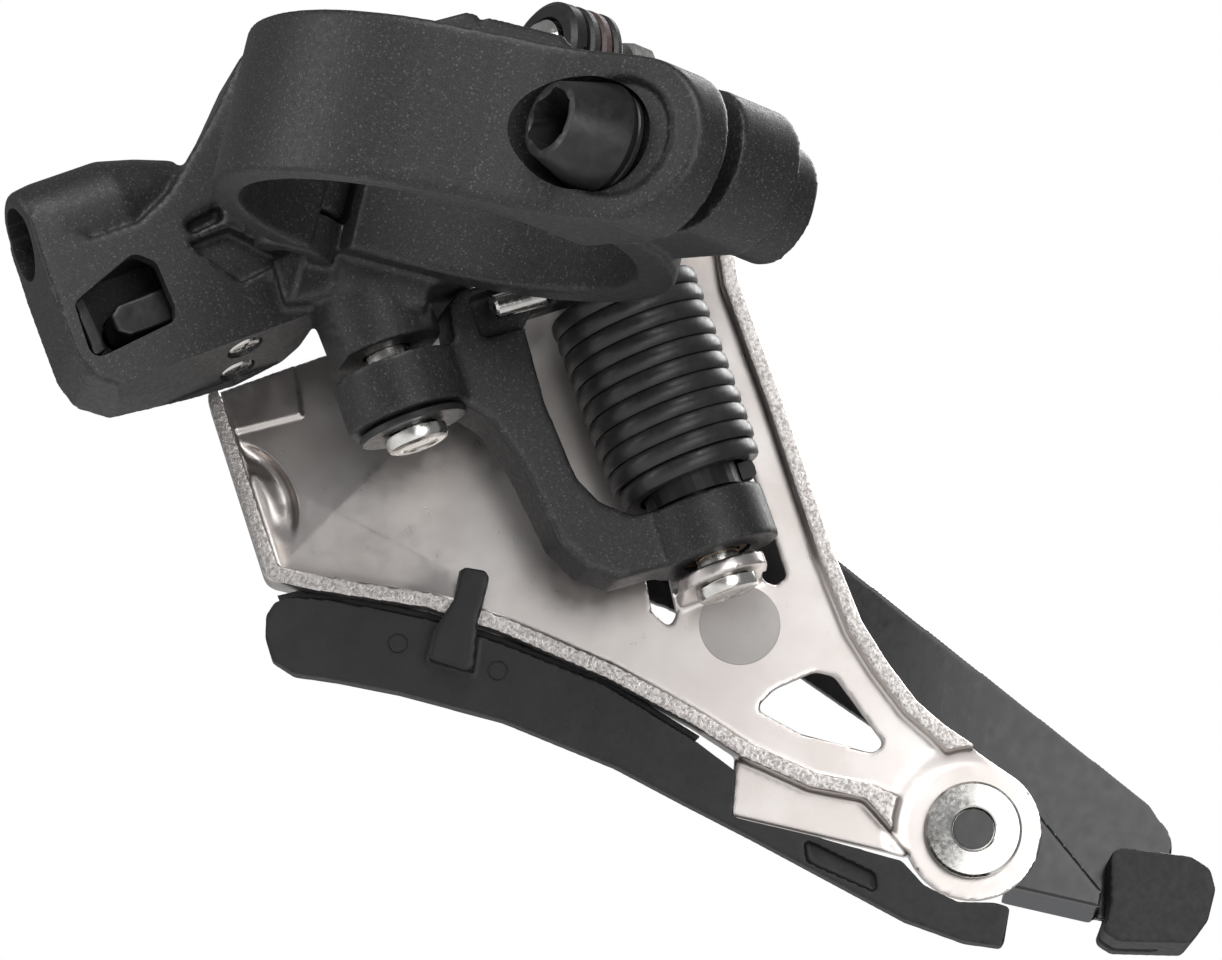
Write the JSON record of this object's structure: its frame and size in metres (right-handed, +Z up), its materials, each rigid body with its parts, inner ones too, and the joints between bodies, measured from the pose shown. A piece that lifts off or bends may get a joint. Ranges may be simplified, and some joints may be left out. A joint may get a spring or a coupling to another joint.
{
  "type": "front derailleur",
  "caption": "Side-swing front derailleur with a hinged seat-tube clamp, cable housing, two cast links, return spring and a pressed chain cage.",
  "frame": {"origin": "centre of the seat-tube clamp's bore, at half the band's height", "axes": "+Z up the seat tube, +X to the rear wheel, +Y to the chainring side"},
  "size_m": [0.1223, 0.0816, 0.0772],
  "materials": {
    "black_cast": "satin black coating on a casting, with a fine metallic sparkle",
    "dark_steel": "black oxide, satin",
    "bright_steel": "bright turned steel",
    "satin_sheet": "satin plated sheet, slightly warm",
    "black_sheet": "gloss black coating on sheet",
    "dark_plastic": "matt moulded plastic",
    "spring_wire": "black spring wire, semi-gloss",
    "bush_bronze": "sintered bronze"
  },
  "bodies": {
    "base": {"base_member": "black_cast", "clamp_hinge_pin": "bright_steel", "clamp_nut": "bright_steel", "casing_bush": "dark_plastic", "adjuster_plate": "dark_steel", "inner_link_pin": "bright_steel", "inner_link_washer": "bright_steel", "outer_link_front_pin": "bright_steel"},
    "clamp_band": {"clamp_band": "black_cast"},
    "clamp_bolt": {"clamp_bolt": "dark_steel", "clamp_bolt_washer": "dark_steel"},
    "low_limit_screw": {"low_limit_screw": "bright_steel"},
    "high_limit_screw": {"high_limit_screw": "bright_steel"},
    "cable_adjust_bolt": {"cable_adjust_bolt": "dark_steel"},
    "adjuster_slider": {"adjuster_slider": "dark_steel"},
    "inner_link": {"inner_link": "black_cast", "spring_hook_pin": "bright_steel", "inner_link_front_bush": "bush_bronze", "inner_link_rear_bush": "bush_bronze", "spring_sleeve": "dark_plastic", "return_spring": "spring_wire"},
    "outer_link": {"outer_link": "black_cast", "cable_clamp_plate": "bright_steel", "anchor_nut": "bright_steel"},
    "cable_fixing_bolt": {"cable_fixing_bolt": "dark_steel"},
    "cage": {"inner_cage_plate": "satin_sheet", "outer_cage_plate": "black_sheet", "front_bridge": "black_sheet", "tail_rivet": "bright_steel", "front_rivet_inner": "bright_steel", "front_rivet_outer": "bright_steel", "skid_plate": "dark_plastic", "tail_bumper": "dark_plastic", "cage_pivot_pin": "bright_steel", "outer_link_rear_pin": "bright_steel"}
  },
  "joints": [
    {"name": "clamp_band_hinge", "type": "hinge", "parent": "base", "child": "clamp_band", "pos_m": [-0.01354, 0.01797, 0], "axis": [0, 0, -1], "range_deg": [0, 4.5]},
    {"name": "clamp_bolt_travel", "type": "slide", "parent": "base", "child": "clamp_bolt", "axis": [-0.8, -0.6, 0], "range_m": [0, 0.0042]},
    {"name": "inner_link_pivot", "type": "hinge", "parent": "base", "child": "inner_link", "pos_m": [-0.00843, 0.024, -0.00537], "axis": [-0.5373, 0, 0.8434], "range_deg": [0, 28], "stiffness_Nm_per_rad": 0.4, "springref_deg": -34.38},
    {"name": "outer_link_pivot", "type": "hinge", "parent": "base", "child": "outer_link", "pos_m": [-0.00253, 0.022, -0.00161], "axis": [-0.5373, 0, 0.8434], "range_deg": [0, 28]},
    {"name": "cage_pivot", "type": "hinge", "parent": "inner_link", "child": "cage", "pos_m": [0.01029, 0.0305, 0.00656], "axis": [-0.5373, 0, 0.8434], "range_deg": [-28, 0]},
    {"name": "cable_fixing_bolt_turn", "type": "hinge", "parent": "outer_link", "child": "cable_fixing_bolt", "pos_m": [0.00507, 0.036, 0.01995], "axis": [0.8, 0.6, 0], "range_deg": [0, 360]},
    {"name": "low_limit_screw_turn", "type": "hinge", "parent": "base", "child": "low_limit_screw", "pos_m": [-0.02607, 0.02264, -0.00228], "axis": [-0.6043, 0, 0.7967], "range_deg": [0, 720]},
    {"name": "high_limit_screw_turn", "type": "hinge", "parent": "base", "child": "high_limit_screw", "pos_m": [-0.02708, 0.02706, -0.00305], "axis": [-0.6043, 0, 0.7967], "range_deg": [0, 720]},
    {"name": "cable_adjust_turn", "type": "hinge", "parent": "base", "child": "cable_adjust_bolt", "pos_m": [-0.02691, 0.02254, -0.01559], "axis": [-0.2191, 0.9614, -0.1662], "range_deg": [0, 500]},
    {"name": "adjuster_slide", "type": "slide", "parent": "base", "child": "adjuster_slider", "axis": [0.2191, -0.9614, 0.1662], "range_m": [0, 0.001]}
  ],
  "couplings": [
    {"joint": "clamp_bolt_travel", "follows": "clamp_band_hinge", "m_per_rad": 0.052},
    {"joint": "outer_link_pivot", "follows": "inner_link_pivot", "ratio": 1},
    {"joint": "cage_pivot", "follows": "inner_link_pivot", "ratio": -1},
    {"joint": "adjuster_slide", "follows": "cable_adjust_turn", "m_per_rad": 0.00011141}
  ]
}
